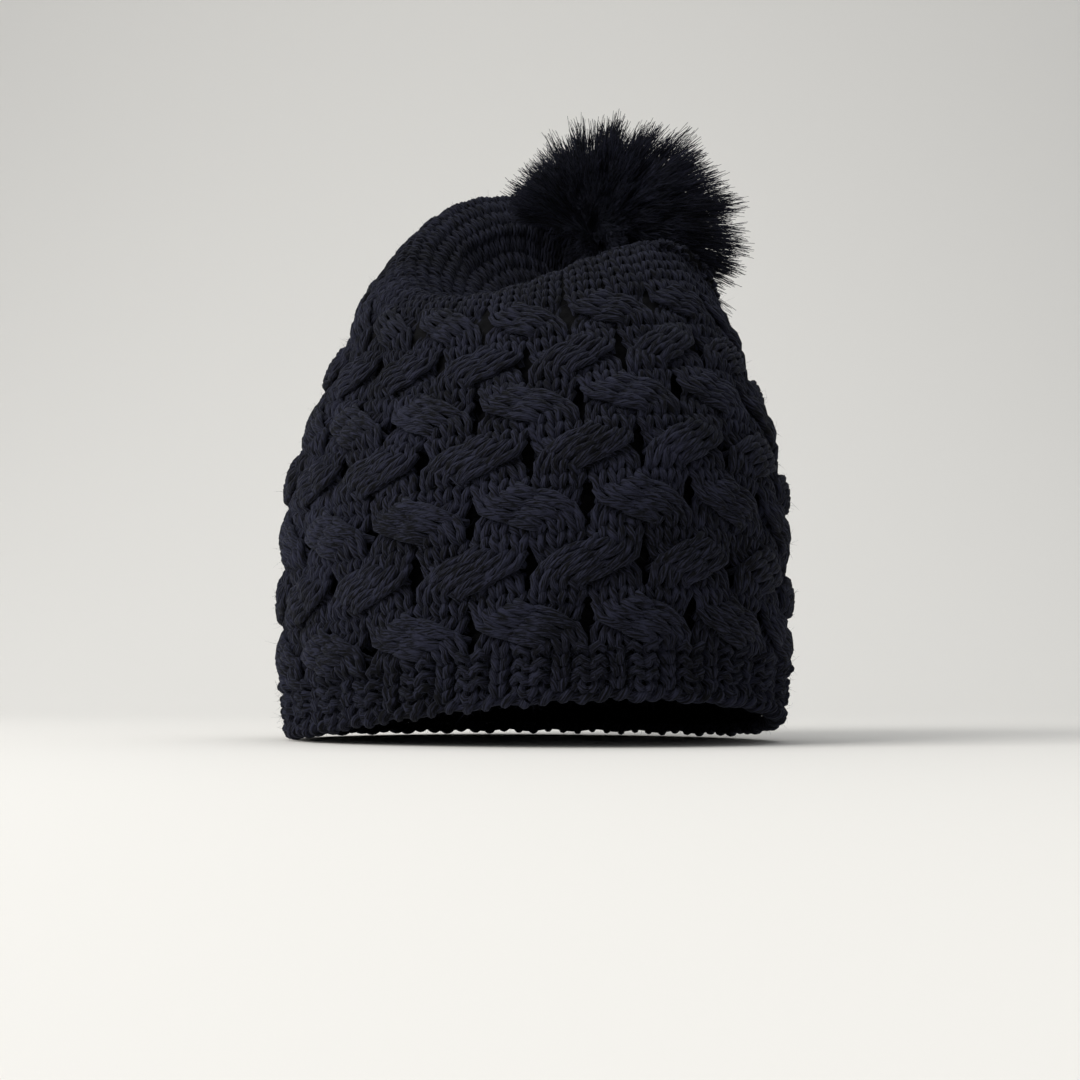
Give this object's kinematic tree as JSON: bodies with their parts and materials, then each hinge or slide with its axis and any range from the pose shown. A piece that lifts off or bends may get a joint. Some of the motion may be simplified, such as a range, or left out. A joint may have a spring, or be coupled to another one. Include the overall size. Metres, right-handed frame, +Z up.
{
  "type": "pom pom beanie",
  "caption": "Chunky cable-knit beanie with a ribbed hem, a gathered, slouched crown and a large yarn pom-pom that flops on its tie.",
  "frame": {"origin": "centre of the head opening, in the plane of the hem's lowest edge", "axes": "+Z up out of the head, -Y towards the wearer's front, +X towards the wearer's left"},
  "size_m": [0.1863, 0.2266, 0.2474],
  "materials": {
    "knit_yarn": "matt, softly fuzzy chunky acrylic yarn, very dark navy",
    "pom_yarn": "matt, brushed cut yarn ends, very dark navy",
    "tying_yarn": "matt plied yarn, very dark navy"
  },
  "bodies": {
    "hat": {"cast_on_edge": "knit_yarn", "ribbed_brim": "knit_yarn", "cable_band_1": "knit_yarn", "cable_band_2": "knit_yarn", "cable_band_3": "knit_yarn", "crown_ridge": "knit_yarn", "crown_hollow": "knit_yarn", "back_seam_yarn": "tying_yarn", "crown_gather_yarn": "tying_yarn", "inner_anchor_yarn": "tying_yarn", "anchor_knot": "tying_yarn"},
    "pom_knot": {"attachment_knot": "tying_yarn"},
    "pom_pom": {"attachment_yarn": "tying_yarn", "pom_tie_cord": "tying_yarn", "pom_bundle_01": "pom_yarn", "pom_bundle_02": "pom_yarn", "pom_bundle_03": "pom_yarn", "pom_bundle_04": "pom_yarn", "pom_bundle_05": "pom_yarn", "pom_bundle_06": "pom_yarn", "pom_bundle_07": "pom_yarn", "pom_bundle_08": "pom_yarn", "pom_bundle_09": "pom_yarn", "pom_bundle_10": "pom_yarn", "pom_bundle_11": "pom_yarn", "pom_bundle_12": "pom_yarn", "pom_bundle_13": "pom_yarn", "pom_bundle_14": "pom_yarn", "pom_bundle_15": "pom_yarn", "pom_bundle_16": "pom_yarn"}
  },
  "joints": [
    {"name": "pom_nod", "type": "hinge", "parent": "hat", "child": "pom_knot", "pos_m": [0.018, -0.008, 0.172], "axis": [1, 0, 0], "range_deg": [-8, 3]},
    {"name": "pom_sway", "type": "hinge", "parent": "pom_knot", "child": "pom_pom", "pos_m": [0.018, -0.008, 0.172], "axis": [0, -1, 0], "range_deg": [0, 55]}
  ]
}
